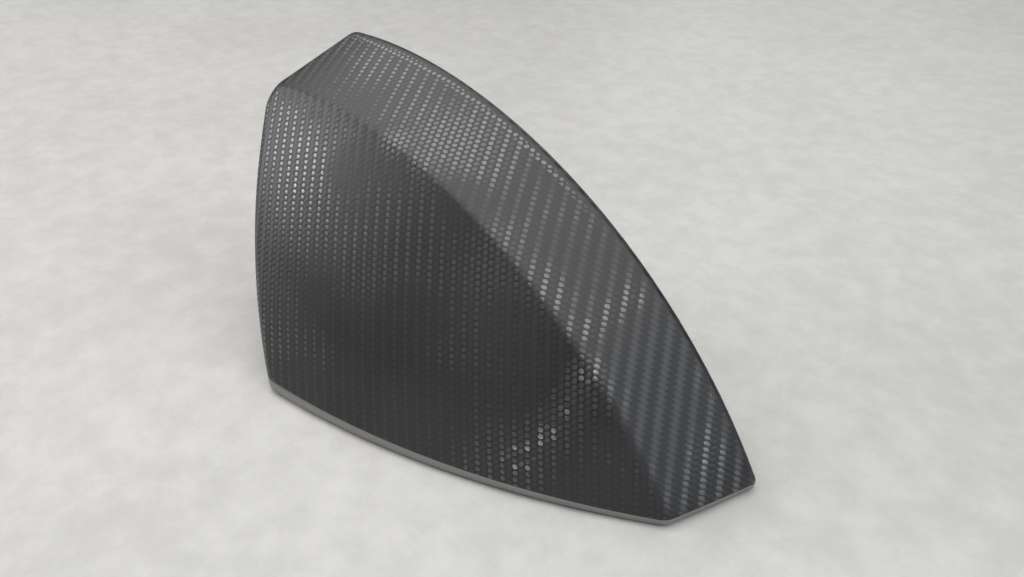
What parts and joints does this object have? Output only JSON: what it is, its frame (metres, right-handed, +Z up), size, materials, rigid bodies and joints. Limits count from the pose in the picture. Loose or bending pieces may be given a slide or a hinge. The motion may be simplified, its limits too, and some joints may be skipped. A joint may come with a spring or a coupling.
{
  "type": "wing mirror cover",
  "caption": "Hollow shell cover for a car wing mirror: domed front face, arched roof falling to a pointed outboard tip, rolled edges, open at the back and underneath.",
  "frame": {"origin": "under the middle of the bounding box, on the plane that the rim rests on", "axes": "+X along the length towards the outboard tip, +Y towards the open back, +Z up"},
  "size_m": [0.2706, 0.1128, 0.1398],
  "materials": {
    "carbon_laminate": "satin carbon fibre laminate, twill weave showing"
  },
  "bodies": {
    "root": {"mirror_cover": "carbon_laminate"}
  },
  "joints": []
}
